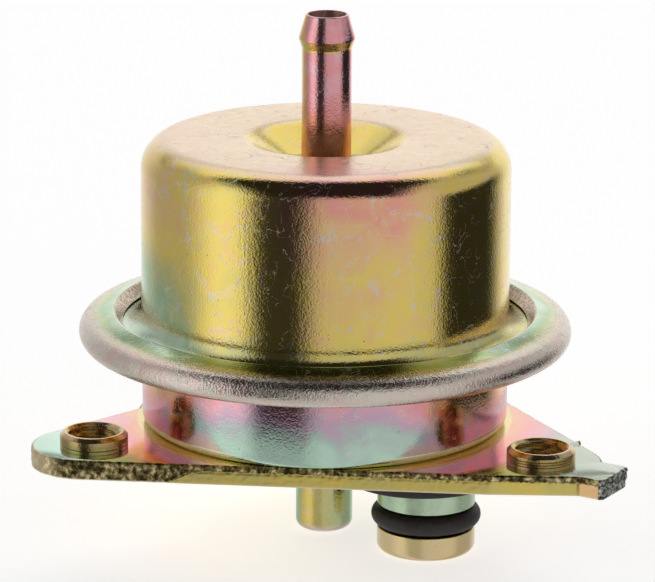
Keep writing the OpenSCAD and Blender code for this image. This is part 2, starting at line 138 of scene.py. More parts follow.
def round_corner(bm, vert, rounding):
    """Rounds one corner of a wire by a bevel whose offset is the arc's tangent length."""
    ends = [edge.other_vert(vert).co - vert.co for edge in vert.link_edges]
    turn = math.pi - ends[0].angle(ends[1])
    steps = max(3, round(math.degrees(turn) / BEND_STEP))
    bmesh.ops.bevel(bm, geom=[vert], offset=rounding * math.tan(turn / 2), offset_type="OFFSET",
                    affect="VERTICES", segments=steps, profile=0.5, material=-1,
                    clamp_overlap=False)


def spin(bm, geom, centre, angle, steps, climb=0, merge=False):
    """Spins vertices and edges round an upright axis, and lifts them a little at each step."""
    return bmesh.ops.spin(bm, geom=geom, cent=centre, axis=(0, 0, 1), dvec=(0, 0, climb),
                          angle=angle, steps=steps, use_merge=merge, use_duplicate=False)


def spin_section(bm, centre=(0, 0, 0), steps=TURN_STEPS):
    """Moves the section to its axis and spins it into a closed skin."""
    bmesh.ops.translate(bm, verts=bm.verts, vec=centre)
    spin(bm, bm.verts[:] + bm.edges[:], centre, 2 * math.pi, steps, merge=True)
    bmesh.ops.remove_doubles(bm, verts=bm.verts, dist=WELD)
    bmesh.ops.recalc_face_normals(bm, faces=bm.faces)
    return bm


def make_object(bm, name):
    """Turns a bmesh into an object of the scene."""
    mesh = bpy.data.meshes.new(name)
    bm.to_mesh(mesh)
    bm.free()
    made = bpy.data.objects.new(name, mesh)
    bpy.context.scene.collection.objects.link(made)
    return made


def make_piece(bm, name, materials, replaced=None):
    """Turns a bmesh in millimetres into a shaded piece in metres on the housing."""
    bmesh.ops.scale(bm, vec=(MM, MM, MM), verts=bm.verts)
    piece = make_object(bm, name)
    mesh = piece.data
    for material in materials:
        mesh.materials.append(bpy.data.materials[material])
    mesh.shade_smooth()
    mesh.set_sharp_from_angle(angle=SHARP_ANGLE)
    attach(piece, "housing")
    if replaced:
        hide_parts(replaced)
    print(name, "faces:", len(mesh.polygons))
    return piece


def turn_piece(corners, name, material, replaced, centre=(0, 0, 0), steps=TURN_STEPS):
    """Draws a section, spins it and makes the piece."""
    skin = spin_section(draw_section(corners), centre, steps)
    return make_piece(skin, name, [material], replaced)


def circle_section(radius, segments, place):
    """A circle in the XZ plane, as the section of a ring or a wire."""
    bm = bmesh.new()
    upright = Matrix.Rotation(math.pi / 2, 3, "X")
    bmesh.ops.create_circle(bm, cap_ends=False, segments=segments, radius=radius)
    bmesh.ops.rotate(bm, verts=bm.verts, cent=(0, 0, 0), matrix=upright)
    bmesh.ops.translate(bm, verts=bm.verts, vec=place)
    return bm


print("steps in a full turn:", TURN_STEPS)

# %% [markdown]
# ## Sections of bent sheet
# Cup, cap and diaphragm are bent from sheet of even thickness. Their sections follow from a middle
# line: each corner is moved half the thickness to both sides, and its bend gets the matching inner
# and outer radius. A Solidify modifier could do the same after the spin, but then the lip's
# slanted cut would have to be made by hand.

# %% Helper for a bent sheet's two faces


def sheet_faces(line, thickness):
    """Corners of a sheet's two faces, from (radius, height, bend) corners of its middle line."""
    faces = ([], [])
    points = [Vector((r, z)) for r, z, _ in line]
    for i, point in enumerate(points):
        before = (point - points[i - 1]).normalized() if i else None
        after = (points[i + 1] - point).normalized() if i + 1 < len(points) else None
        a, b = before or after, after or before
        turn = a.angle_signed(b) if before and after else 0
        middle = (a + b).normalized()
        left = Vector((-middle.y, middle.x)) * (thickness / 2 / math.cos(turn / 2))
        bend = line[i][2]
        side = 1 if turn < 0 else -1
        inner, outer = bend - side * thickness / 2, bend + side * thickness / 2
        faces[0].append((*(point + left), max(inner, 0) if bend else 0))
        faces[1].append((*(point - left), max(outer, 0) if bend else 0))
    return faces


def close_sheet(line, thickness, edge=0.08):
    """One closed loop of corners from a sheet's two faces, with its cut ends slightly rounded."""
    left, right = sheet_faces(line, thickness)
    loop = left + right[::-1]
    ends = (0, len(left) - 1, len(left), len(loop) - 1)
    return [(r, z, edge if i in ends else bend) for i, (r, z, bend) in enumerate(loop)]


print("sheet of", sheet_t, "mm, half of it to each side of a middle line")

# %% [markdown]
# ## Shader helpers
# All finishes are built from nodes. These short helpers add a node with its inputs, a sum or a
# smooth step to the node tree that was opened last, so that each material below reads as a recipe.
# Coordinates are Object coordinates in millimetres.

# %% Shader helpers


def open_tree(new_tree):
    """Makes a node tree the one that the helpers add their nodes to."""
    global tree
    tree = new_tree
    return tree


def add(kind, values=None, **settings):
    """Adds a shader node. Values are its inputs, as sockets to link or as constants."""
    node = tree.nodes.new("ShaderNode" + kind)
    for name, value in settings.items():
        setattr(node, name, value)
    for key, value in (values or {}).items():
        if isinstance(value, bpy.types.NodeSocket):
            tree.links.new(value, node.inputs[key])
        else:
            node.inputs[key].default_value = value
    return node


def maths(operation, a, b=0.0):
    return add("Math", {0: a, 1: b}, operation=operation).outputs[0]


def times(result, *others):
    """The product of two or more values."""
    for other in others:
        result = maths("MULTIPLY", result, other)
    return result


def plus(result, *others):
    """The sum of two or more values."""
    for other in others:
        result = maths("ADD", result, other)
    return result


def step(value, low, high, start=0.0, end=1.0):
    """A smooth step of a value from start at low to end at high."""
    return add("MapRange", {0: value, 1: low, 2: high, 3: start, 4: end},
               interpolation_type="SMOOTHSTEP").outputs[0]


def mix_colour(share, a, b):
    return add("Mix", {0: share, 6: a, 7: b}, data_type="RGBA").outputs[2]


def noise_value(place, size, detail=3.0, rough=0.55, twist=0.0):
    """Noise whose blobs are about so many millimetres wide."""
    values = {"Vector": place, "Scale": 1 / size, "Detail": detail, "Roughness": rough,
              "Distortion": twist}
    return add("TexNoise", values).outputs[0]


def stretch(place, factors):
    """Places multiplied along each axis, which stretches a noise where the factor is small."""
    return add("VectorMath", {0: place, 1: factors}, operation="MULTIPLY").outputs[0]


def ramp(value, stops):
    """A colour ramp from (place, colour) stops."""
    node = add("ValToRGB", {0: value})
    node.color_ramp.interpolation = "LINEAR"
    while len(node.color_ramp.elements) < len(stops):
        node.color_ramp.elements.new(0.5)
    for element, (place, colour) in zip(node.color_ramp.elements, stops):
        element.position = place
        element.color = (*colour, 1)
    return node.outputs[0]


def new_group(name, floats, outputs):
    """Opens a node group with a Place, float inputs with their defaults, and outputs by kind."""
    group = open_tree(bpy.data.node_groups.new(name, "ShaderNodeTree"))
    new_socket = group.interface.new_socket
    new_socket("Place", in_out="INPUT", socket_type="NodeSocketVector")
    for label, default in floats.items():
        new_socket(label, in_out="INPUT", socket_type="NodeSocketFloat").default_value = default
    for label, kind in outputs.items():
        new_socket(label, in_out="OUTPUT", socket_type="NodeSocket" + kind)
    given, result = group.nodes.new("NodeGroupInput"), group.nodes.new("NodeGroupOutput")
    return group, given.outputs[:1 + len(floats)], result.inputs


def use_group(group, values):
    return add("Group", values, node_tree=group)


def new_material(name):
    """A new material's Principled skin, and its place in mm, whole and as X, Y, Z."""
    material = bpy.data.materials.new(name)
    material.use_nodes = True
    skin = open_tree(material.node_tree).nodes["Principled BSDF"]
    in_mm = {0: add("TexCoord").outputs["Object"], "Scale": 1 / MM}
    place = add("VectorMath", in_mm, operation="SCALE").outputs[0]
    print("material", material.name)
    return skin, place, add("SeparateXYZ", {0: place}).outputs[:]


def radius_of(x, y):
    """Distance from the main axis."""
    flat = add("CombineXYZ", {0: x, 1: y}).outputs[0]
    return add("VectorMath", {0: flat}, operation="LENGTH").outputs["Value"]


print("shader helpers ready, 1 unit =", MM, "m")

# %% [markdown]
# ## The chromate film
# The film is thinner than a wavelength in places, so light that is reflected above and below it
# interferes and shows a colour for each thickness. One group turns a film value into that colour,
# in the order in which the tints follow each other: mint, green, olive, gold, orange, rose, violet
# and mint again. Each material then only says how its film changes over the piece.

# %% Film colours as a group
FILM_TINTS = [
    (0.00, (0.62, 0.76, 0.58)),
    (0.12, (0.42, 0.60, 0.34)),
    (0.25, (0.64, 0.60, 0.25)),
    (0.40, (0.88, 0.68, 0.17)),
    (0.52, (0.88, 0.56, 0.28)),
    (0.60, (0.90, 0.42, 0.30)),
    (0.66, (0.90, 0.38, 0.40)),
    (0.72, (0.86, 0.46, 0.52)),
    (0.80, (0.66, 0.46, 0.58)),
    (0.90, (0.52, 0.61, 0.57)),
    (1.00, (0.58, 0.82, 0.66)),
]

floats = {"Film": 0.4, "Patch size": 5.0, "Patch": 0.1}
film_group, given, result = new_group("chromate_film", floats, {"Colour": "Color"})
place, film, size, patch = given
unit_place = add("VectorMath", {0: place, 1: size}, operation="DIVIDE").outputs[0]
clouds = noise_value(unit_place, 1.0, 2.0, 0.5, 0.6)
film = plus(film, times(maths("SUBTRACT", clouds, 0.5), patch))
tree.links.new(ramp(film, FILM_TINTS), result["Colour"])


def film_colour(place, film, size, patch):
    """The film's colour, with clouds of a size in millimetres and of some strength."""
    values = {"Place": place, "Film": film, "Patch size": size, "Patch": patch}
    return use_group(film_group, values).outputs[0]


print("film tints:", len(FILM_TINTS))

# %% [markdown]
# ## Handling marks and grain
# Plated parts rub against each other in a bin. They get pale curly hairlines where the film is
# scuffed, pale stains, dark pin-prick pits, and a fine grain that breaks up every reflection's
# edge. Hairlines are the contour lines of a noise field, because those curl and end as real scuffs
# do. Pits are the cores of Voronoi cells.

# %% Marks and grain as groups
HAIR_WIDTH = 0.013
PIT_CHANCE, PIT_SIZE = 0.70, 0.075

outputs = {"Scuffs": "Float", "Stains": "Float", "Pits": "Float"}
marks_group, (place,), result = new_group("handling_marks", {}, outputs)
field = noise_value(place, 2.6, 2.5, 0.5, 0.8)
contour = maths("ABSOLUTE", maths("SUBTRACT", field, 0.5))
line = step(contour, 0.0, HAIR_WIDTH, 1.0, 0.0)
where = step(noise_value(place, 3.2, 2.0, 0.6), 0.38, 0.54)
broken = step(noise_value(place, 0.45, 2.0, 0.7), 0.34, 0.50)
blotch = step(noise_value(place, 2.4, 5.0, 0.7, 0.8), 0.56, 0.64)
mottled = step(noise_value(place, 0.25, 3.0, 0.7), 0.38, 0.60)
cells = add("TexVoronoi", {"Vector": place, "Scale": 0.9}).outputs
chance = add("SeparateColor", {0: cells["Color"]}).outputs[0]
size = step(chance, PIT_CHANCE, 1.0, 0.0, PIT_SIZE)
tree.links.new(times(line, where, broken), result["Scuffs"])
tree.links.new(times(blotch, mottled), result["Stains"])
tree.links.new(maths("LESS_THAN", cells["Distance"], size), result["Pits"])

DRAW_PULL = (1.0, 1.0, 0.05)
floats = {"Fine": 1.0, "Coarse": 1.0, "Drawn": 0.0}
grain_group, given, result = new_group("plating_grain", floats, {"Height": "Float"})
place, fine, coarse, drawn = given
height = plus(times(noise_value(place, 0.22, 2.0, 0.6), fine),
              times(noise_value(place, 0.7, 2.0, 0.5), coarse))
lines = noise_value(stretch(place, DRAW_PULL), 0.3, 2.0, 0.6)
height = plus(height, times(lines, drawn))
tree.links.new(height, result["Height"])
print("groups:", [group.name for group in bpy.data.node_groups])

# %% [markdown]
# ## Plated steel
# All plated pieces share one recipe: a metallic skin, the film's colour with scuffs and pits on
# it, a roughness that varies a little, and grain as bump. What differs is the film value, so each
# piece hands over its own. The scuffs are paler and duller than the film, and the pits are dark.

# %% Recipe for a plated skin
SCUFF_TINT, SCUFF_DULL = (0.80, 0.75, 0.66, 1), 0.40
STAIN_TINT = (0.76, 0.66, 0.62, 1)
PIT_TINT, PIT_SHARE = (0.10, 0.08, 0.05, 1), 0.6
CLOUD_SIZE = 1.1


def finish_skin(skin, colour, rough, height=None, depth=0.0, strength=1.0, metallic=1.0):
    """Links colour, roughness and a bump of so many millimetres to a Principled skin."""
    tree.links.new(colour, skin.inputs["Base Color"])
    tree.links.new(rough, skin.inputs["Roughness"])
    skin.inputs["Metallic"].default_value = metallic
    if depth:
        values = {"Strength": strength, "Distance": depth * MM, "Height": height}
        tree.links.new(add("Bump", values).outputs[0], skin.inputs["Normal"])


def finish_plating(skin, place, film, patch=(5.0, 0.10), rough=(0.08, 0.06),
                   grain=(1.0, 0.6, 0.0), depth=0.012, scuffed=0.6, stained=0.0, overlay=None,
                   matte=0.0, coarsen=0.0):
    """Wires film colour, marks, roughness and grain to a Principled skin.

    Patch is the size and strength of the film's clouds, rough the least roughness and its spread.
    A mask and a colour can be laid over the film: the metal under the film where a piece is
    worn, a painted highlight on the cup's foot, a painted reflection on the plate's seam and the
    nipple's foot, and painted shade in the nipple's bore. There, matte adds roughness and coarsen
    grain.
    """
    tint = film_colour(place, film, *patch)
    marks = use_group(marks_group, {"Place": place}).outputs
    scuffs = times(marks["Scuffs"], scuffed)
    if stained:
        tint = mix_colour(times(marks["Stains"], stained), tint, STAIN_TINT)
    # Laid over the film: real wear on rubbed pieces, painted highlight on the cup's foot, painted
    # reflection on the plate's seam and the nipple's foot, painted shade in the nipple's bore.
    if overlay:
        tint = mix_colour(overlay[0], tint, overlay[1])
    tint = mix_colour(scuffs, tint, SCUFF_TINT)
    tint = mix_colour(times(marks["Pits"], PIT_SHARE), tint, PIT_TINT)
    clouds = noise_value(place, CLOUD_SIZE)
    dull = step(clouds, 0.3, 0.7, rough[0], rough[0] + rough[1])
    if overlay:
        dull = plus(dull, times(overlay[0], matte))
    dull = plus(dull, times(scuffs, SCUFF_DULL))
    grain_in = {"Place": place, "Fine": grain[0], "Coarse": grain[1], "Drawn": grain[2]}
    height = use_group(grain_group, grain_in).outputs[0]
    if overlay and coarsen:
        height = times(height, step(overlay[0], 0.0, 1.0, 1.0, 1.0 + coarsen))
    finish_skin(skin, tint, dull, height, depth)


print("plating recipe with", len(bpy.data.node_groups), "groups")

# %% [markdown]
# ## Gold cap
# The cap's film is thickest at its front near the top, where it turns orange and rose, and thins
# to green at the left edge and at the foot. The value follows X, Y and Z in soft steps. Drawing
# left faint upright lines on the wall. They come from the grain group's drawn input, a noise
# stretched along Z, so no second bump is needed. The flat top is rubbed: paler, duller and with
# less grain.

# %% Material of the cap
skin, place, (x, y, z) = new_material("gold_cap")
left = times(step(x, -9, -17), step(z, 26, 15, 0.08, -0.34))
front = times(step(x, -7, 0), step(x, 15, 7), step(y, -11, -14))
rose = times(front, step(z, 21.0, 28.5, 0.05, 0.18))
foot = step(z, 13.2, 15.6, -0.14, 0.0)
film = plus(left, plus(rose, foot), 0.40)
on_top = times(step(z, 30.6, 31.18), step(radius_of(x, y), 7.4, 8.6), 0.74)
finish_plating(skin, place, film, patch=(3.5, 0.30), rough=(0.055, 0.05), grain=(1.1, 0.4, 0.3),
               depth=0.018, scuffed=0.80, stained=0.8, overlay=(on_top, (0.94, 0.74, 0.63, 1)),
               matte=0.28, coarsen=-0.5)

# %% [markdown]
# ## Rose cup, rolled rim and cut lip
# The cup's film runs from rose at its neck to mint at its foot, and to gold at the sides. The rim
# was rolled after plating, so its outside is scuffed to a coarse grey, and the green film is left
# only on the slope towards the lip. At the sides of the foot the corner is painted a pale gold and
# made less metallic: a painted highlight for the bright ring that the corner and its mirror image
# in the plate show. The lip's edge was cut, so it has no film: one noise gives it colour,
# roughness and bump.

# %% Materials of the cup and its lip
skin, place, (x, y, z) = new_material("rose_cup")
radius = radius_of(x, y)
aside = maths("ABSOLUTE", x)
wall = plus(step(z, 8.8, 3.2, 0.72, 1.0), step(aside, 8.0, 17.0, 0.0, -0.26))
slope = plus(step(radius, 21.4, 23.2, 0.02, 0.18), step(radius, 23.2, 24.4, 0.0, 0.5))
on_rim = step(z, 9.9, 10.5)
below = maths("SUBTRACT", 1.0, on_rim)
film = plus(times(on_rim, slope), times(below, wall))
# Painted highlight: at the sides of the foot the corner gets a pale gold overlay instead of film.
ring = times(step(z, 3.0, 2.8, 0.0, 0.8), step(aside, 6.0, 11.0))
uneven = step(noise_value(place, 2.2, 4.0, 0.7), 0.35, 0.6, 0.70, 1.0)
outside = times(step(radius, 22.6, 23.9), on_rim, uneven)
# Pale gold below z 6 is that painted highlight on the foot; the grey above is the rolled rim's real
# wear.
overlay_tint = mix_colour(step(z, 6.0, 8.0), (0.92, 0.78, 0.34, 1), (0.80, 0.73, 0.63, 1))
finish_plating(skin, place, film, patch=(4.0, 0.36), rough=(0.05, 0.05), grain=(1.0, 0.5, 0.0),
               depth=0.012, scuffed=0.8, stained=0.4, overlay=(plus(outside, ring), overlay_tint),
               matte=0.17, coarsen=4.5)
# Less metal on the painted highlight, so that it stays bright from all sides.
tree.links.new(step(ring, 0.0, 0.8, 1.0, 0.35), skin.inputs["Metallic"])

skin, place, _ = new_material("cut_lip")
grain = noise_value(place, 0.3, 3.0, 0.65)
browns = ramp(grain, [(0.35, (0.40, 0.28, 0.18)), (0.65, (0.90, 0.76, 0.62))])
finish_skin(skin, browns, step(grain, 0.3, 0.7, 0.30, 0.20), grain, 0.03)

# %% [markdown]
# ## Plate, its sheared edge and the raw end of its tab
# The plate's faces are among the glossiest surfaces. Their film is gold beside the cup, then
# rose, and mint towards the ears, and the tab is rubbed to grey. In the narrow seam right beside
# the cup a paler, duller gold is painted over the film: a painted reflection of the cup's foot
# ring mirrored in the plate. The edge was sheared: a smooth band where the blade cut, above it a
# dark torn band, and a pale line along its lower edge. The tab's end broke off a strip later, so
# it is bare grey steel.

# %% Materials of the plate
skin, place, (x, y, z) = new_material("rose_plate_face")
radius = radius_of(x, y)
near = plus(step(radius, 18.4, 19.4, 0.42, 0.58), step(radius, 19.4, 21.5, 0.0, 0.08))
film = plus(near, step(radius, 21.5, 26.5, 0.0, 0.34))
on_tab = step(x, 20.0, 27.0, 0.0, 0.65)
# Painted reflection: the narrow seam beside the cup gets a paler, duller gold overlay for the cup's
# foot ring mirrored in the plate.
seam = step(radius, 19.25, 19.05, 0.0, 0.8)
gold, grey = (0.90, 0.72, 0.34, 1), (0.46, 0.42, 0.33, 1)
# Gold is the painted reflection in the seam; grey is the tab's real rub.
overlay_tint = mix_colour(step(radius, 19.5, 21.0), gold, grey)
finish_plating(skin, place, film, patch=(5.0, 0.14), rough=(0.05, 0.04), grain=(0.6, 0.6, 0.0),
               depth=0.008, scuffed=0.5, stained=0.3,
               overlay=(maths("MAXIMUM", on_tab, seam), overlay_tint), matte=0.10)

skin, place, (x, y, z) = new_material("sheared_edge")
ragged = noise_value(place, 0.45, 4.0, 0.7)
level = plus(z, step(x, -15, -10, 1.5, 0.0), times(ragged, 0.7))
torn = step(level, 1.66, 1.80)
clean = film_colour(place, step(x, 26.3, 26.8, 0.36, 0.52), 6.0, 0.34)
flecks = noise_value(stretch(place, (1.0, 1.0, 0.8)), 0.75, 4.0, 0.66)
dark = ramp(flecks, [(0.42, (0.05, 0.04, 0.018)), (0.53, (0.34, 0.26, 0.10)),
                     (0.62, (0.95, 0.80, 0.44))])
dark = mix_colour(step(x, -24.0, -27.0, 0.0, 0.75), dark, (0.84, 0.68, 0.42, 1))
bands = mix_colour(torn, clean, dark)
bands = mix_colour(step(z, 0.20, 0.08), bands, (0.95, 0.84, 0.62, 1))
finish_skin(skin, bands, step(torn, 0.0, 1.0, 0.18, 0.34), times(flecks, plus(torn, 0.08)), 0.14)

skin, place, _ = new_material("raw_break")
grain = noise_value(place, 0.35, 4.0, 0.7)
greys = ramp(grain, [(0.38, (0.03, 0.035, 0.03)), (0.52, (0.28, 0.30, 0.25)),
                     (0.64, (0.88, 0.88, 0.82))])
finish_skin(skin, greys, step(grain, 0.3, 0.7, 0.5, 0.3), grain, 0.2)

# %% [markdown]
# ## Small turned parts and collars
# The nipple is rose. Its foot is painted red-orange, a painted reflection of the gold dimple round
# it, and its mouth and bore are painted dark brown as painted shade. The spigot is mint with a
# golden nose, and the tube is olive with a rubbed end. The collars were stretched out of the
# plate, which left their film patchy and brown, with a paler crown.

# %% Materials of nipple, spigot, tube and collars
skin, place, (x, y, z) = new_material("rose_nipple")
film = plus(step(z, 31, 35, 0.58, 0.69), step(x, -2.4, -1.4, -0.22, 0.0))
neck = times(step(z, 40.0, 40.5), step(z, 41.5, 41.0, 0.0, -0.24))
# Painted reflection: the foot is tinted red-orange for the gold dimple that it mirrors.
foot = step(z, 30.5, 34.0, 0.8, 0.0)
# Painted shade: the mouth and bore are painted dark brown.
painted_bore_shade = step(radius_of(x, y), 1.98, 1.88, 0.0, 0.85)
# Red-orange is the painted reflection at the foot, dark brown the painted shade in the bore.
overlay_tint = mix_colour(step(z, 35.0, 38.0), (0.80, 0.30, 0.18, 1), (0.16, 0.10, 0.05, 1))
finish_plating(skin, place, plus(film, neck), patch=(2.0, 0.24), rough=(0.08, 0.06),
               grain=(1.2, 0.6, 0.3), depth=0.020, scuffed=0.6, stained=0.5,
               overlay=(maths("MAXIMUM", foot, painted_bore_shade), overlay_tint), matte=0.35)

skin, place, (x, y, z) = new_material("mint_spigot")
film = step(z, -8.0, -6.0, 0.44, 0.06)
nose = step(z, -6.5, -7.5, 0.0, 0.42)
finish_plating(skin, place, film, patch=(2.5, 0.26), rough=(0.10, 0.08), grain=(1.2, 0.6, 0.0),
               depth=0.014, stained=0.6, overlay=(nose, (0.82, 0.70, 0.54, 1)), matte=0.1)

skin, place, (x, y, z) = new_material("olive_tube")
film = plus(step(x, 2.6, -1.6, 0.14, 0.38), step(x, -1.8, -2.7, 0.0, -0.28))
end = step(z, -8.8, -9.3, 0.0, 0.8)
finish_plating(skin, place, film, patch=(2.5, 0.20), rough=(0.09, 0.06), grain=(1.2, 0.5, 0.3),
               depth=0.018, stained=0.6, overlay=(end, (0.84, 0.66, 0.54, 1)), matte=0.25)

skin, place, (x, y, z) = new_material("bronze_collar")
film = step(noise_value(place, 1.4), 0.3, 0.7, 0.20, 0.60)
crown = step(z, collar_top - 0.5, collar_top - 0.1)
brown = mix_colour(crown, (0.36, 0.22, 0.12, 1), (0.78, 0.58, 0.40, 1))
finish_plating(skin, place, film, patch=(1.5, 0.3), rough=(0.12, 0.10), grain=(1.2, 0.8, 0.0),
               depth=0.020, overlay=(0.62, brown), matte=0.05)

# %% [markdown]
# ## Rubber, bare steel and cloth
# Rubber is not metal: it is dark, dull and slightly mottled with dust. The pieces that are sealed
# inside are bare steel and rubbered cloth, whose weave is a wave pattern. In each of the three,
# one pattern drives both colour and roughness, and in the rubber the bump too, so that they agree.

# %% Materials of seals and inner pieces
skin, place, _ = new_material("black_rubber_skin")
dust = noise_value(place, 0.5, 4.0, 0.7)
blacks = ramp(dust, [(0.35, (0.010, 0.008, 0.007)), (0.8, (0.034, 0.028, 0.024))])
finish_skin(skin, blacks, step(dust, 0.3, 0.7, 0.46, 0.62), dust, 0.03, 0.6, 0.0)

skin, place, _ = new_material("bare_steel_skin")
streaks = noise_value(place, 0.3, 3.0)
greys = ramp(streaks, [(0.3, (0.45, 0.46, 0.48)), (0.7, (0.66, 0.67, 0.69))])
finish_skin(skin, greys, step(streaks, 0.3, 0.7, 0.22, 0.36))

skin, place, _ = new_material("rubbered_cloth")
weave = add("TexWave", {"Vector": place, "Scale": 1.2, "Distortion": 1.0}).outputs[1]
browns = ramp(weave, [(0.2, (0.20, 0.12, 0.06)), (0.8, (0.34, 0.21, 0.11))])
finish_skin(skin, browns, step(weave, 0.2, 0.8, 0.7, 0.55), metallic=0.0)

# %% [markdown]
# ## The cap
# On the real part a disc of sheet is drawn into a pot: flange, wall, rounded shoulder, flat top
# and the dimple that the nipple is brazed into. The middle line has six corners. Foot, shoulder
# and dimple have the bends that the solid has.

# %% Cap
dimple_r, dimple_floor_r, dimple_depth, dimple_bend = 8.1, 4.1, 2.5, 2.6
shoulder_r, foot_r = 3.0, 1.8
half_t = sheet_t / 2
nipple_r = 2.5
cap_line = [
    (flange_r, cap_low + half_t, 0),
    (cap_r - half_t, cap_low + half_t, foot_r + half_t),
    (cap_r - half_t, cap_top - half_t, shoulder_r - half_t),
    (dimple_r, cap_top - half_t, dimple_bend),
    (dimple_floor_r, cap_top - dimple_depth - half_t, dimple_bend),
    (nipple_r + fit_gap, cap_top - dimple_depth - half_t, 0),
]
turn_piece(close_sheet(cap_line, sheet_t), "cap_shell", "gold_cap", "spring_cap")

# %% [markdown]
# ## The cup and its rolled rim
# The cup is drawn in the same way, and then its flange is rolled up and over the cap's flange. The
# fold rises towards the cap and ends in a slanted cut edge, which shows as a pale ring. So the
# section is the sheet's two faces, with the last corner of each moved to the lip's cut.

# %% Cup
rim_low_r, rim_high_r, cup_corner_r, cup_neck_r = 1.35, 1.6, 0.85, 0.8
fold_slope = math.radians(15)
LIP_DROOP, LIP_MARGIN, CUT_MARGIN = 0.62, 0.1, 0.004
RIM_STEPS = 180
lip_end_r, lip_bevel = cap_r + 1.85, 0.9
membrane_t = 0.5
flange_z = cap_low - membrane_t - half_t
rim_mid_r = rim_r - half_t
fold_half = half_t / math.cos(fold_slope)
fold_z = cap_low + sheet_t + fit_gap + fold_half - (rim_mid_r - flange_r) * math.tan(fold_slope)


def fold_level(radius):
    """Height of the fold's middle line at a radius."""
    return fold_z + (rim_mid_r - radius) * math.tan(fold_slope)


BEND_SHARE = 0.49
room = BEND_SHARE * (fold_z - flange_z)
high_bend = min(rim_high_r - half_t, room / math.tan(math.pi / 4 - fold_slope / 2))
tube_neck_r = 2.45
cup_line = [
    (tube_neck_r + fit_gap, plate_t + half_t, 0),
    (cup_r - half_t, plate_t + half_t, cup_corner_r - half_t),
    (cup_r - half_t, flange_z, cup_neck_r + half_t),
    (rim_mid_r, flange_z, min(rim_low_r - half_t, room)),
    (rim_mid_r, fold_z, high_bend),
    (lip_end_r, fold_level(lip_end_r), 0),
]
cup_loop = close_sheet(cup_line, sheet_t)
last = len(cup_line) - 1
lip_foot = (lip_end_r, fold_level(lip_end_r) - fold_half - LIP_DROOP, 0.06)
lip_top = (lip_end_r + lip_bevel, fold_level(lip_end_r + lip_bevel) + fold_half, 0.35)
cup_loop[last], cup_loop[last + 1] = lip_foot, lip_top
cup_skin = spin_section(draw_section(cup_loop), steps=RIM_STEPS)
for face in cup_skin.faces:
    middle = face.calc_center_median()
    radius = middle.xy.length
    at_lip = (lip_foot[0] < radius < lip_top[0] + LIP_MARGIN
              and lip_foot[1] < middle.z < lip_top[1] + LIP_MARGIN)
    if at_lip and middle.z < fold_level(radius) + fold_half - CUT_MARGIN:
        face.material_index = 1
make_piece(cup_skin, "cup_shell", ["rose_cup", "cut_lip"], "fuel_cup")

# %% [markdown]
# ## Nipple, tube and spigot
# These three have thick walls, so their sections are drawn straight from their steps: the nipple
# has one barb, the tube a rounded end, and the spigot a square groove for its seal ring.

# %% Nipple, tube and spigot
barb_r, barb_l, barb_back, tip_r, nipple_bore_r = 2.85, 2.4, 1.0, 2.15, 1.5
mouth_cut, mouth_deep, foot_disc_r = 0.42, 1.3, 4.0
SMALL_STEPS, SPIGOT_STEPS = 96, 112
floor_low = cap_top - dimple_depth - sheet_t
nipple_corners = [
    (nipple_bore_r, floor_low - sheet_t, 0), (foot_disc_r, floor_low - sheet_t, 0.1),
    (foot_disc_r, floor_low, 0), (nipple_r, floor_low, 0),
    (nipple_r, nipple_top - barb_l - barb_back, 0.6), (barb_r, nipple_top - barb_l, 0.35),
    (tip_r, nipple_top, 0.12), (nipple_bore_r + mouth_cut, nipple_top, 0.04),
    (nipple_bore_r, nipple_top - mouth_deep, 0.2),
]
turn_piece(nipple_corners, "hose_nipple", "rose_nipple", "vacuum_nipple",
           steps=SMALL_STEPS)

tube_r, tube_bore_r, tube_end_r, bead_w = 2.9, 1.6, 0.9, 0.8
tube_top = high_mm("return_tube").z
bead_low, bead_top, bead_r = plate_t + sheet_t, plate_t + 2 * sheet_t, tube_neck_r + bead_w
tube_corners = [
    (tube_bore_r, tube_low, 0.15), (tube_r, tube_low, tube_end_r), (tube_r, 0, 0),
    (tube_neck_r, 0, 0), (tube_neck_r, bead_low, 0), (bead_r, bead_low, 0), (bead_r, bead_top, 0.2),
    (tube_neck_r, bead_top, 0), (tube_neck_r, tube_top, 0), (tube_bore_r, tube_top, 0),
]
turn_piece(tube_corners, "return_pipe", "olive_tube", "return_tube",
           steps=SMALL_STEPS)

spigot_r = mounts["inlet_nose"]["dims"]["r_mm"]
washer_low = low_mm("seal_washer").z
ring_mid_z = (low_mm("spigot_o_ring").z + high_mm("spigot_o_ring").z) / 2
groove_half, groove_r, neck_r, spigot_bore_r = 1.2, 3.52, 3.3, 2.3
mouth_r, mouth_h = 3.43, 1.3
mouth_top = spigot_low + mouth_h
groove_low, groove_top = ring_mid_z - groove_half, ring_mid_z + groove_half
spigot_corners = [
    (spigot_bore_r, mouth_top, 0), (mouth_r, mouth_top, 0), (mouth_r, spigot_low, 0.15),
    (spigot_r, spigot_low, 0.8), (spigot_r, groove_low, 0.12), (groove_r, groove_low, 0.1),
    (groove_r, groove_top, 0.1), (spigot_r, groove_top, 0.12), (spigot_r, washer_low, 0.1),
    (neck_r, washer_low, 0), (neck_r, bead_low, 0), (neck_r + bead_w, bead_low, 0),
    (neck_r + bead_w, bead_top, 0.2), (spigot_bore_r, bead_top, 0.1),
]
turn_piece(spigot_corners, "inlet_stub", "mint_spigot", "inlet_spigot", spigot_at,
           SPIGOT_STEPS)

# %% [markdown]
# ## Rubber seals
# The seal ring is a moulded torus, spun from a circle. The washer is a stamped disc with soft
# edges, spun from four rounded corners. A ready torus would do for the ring, but it would need its
# own placing.

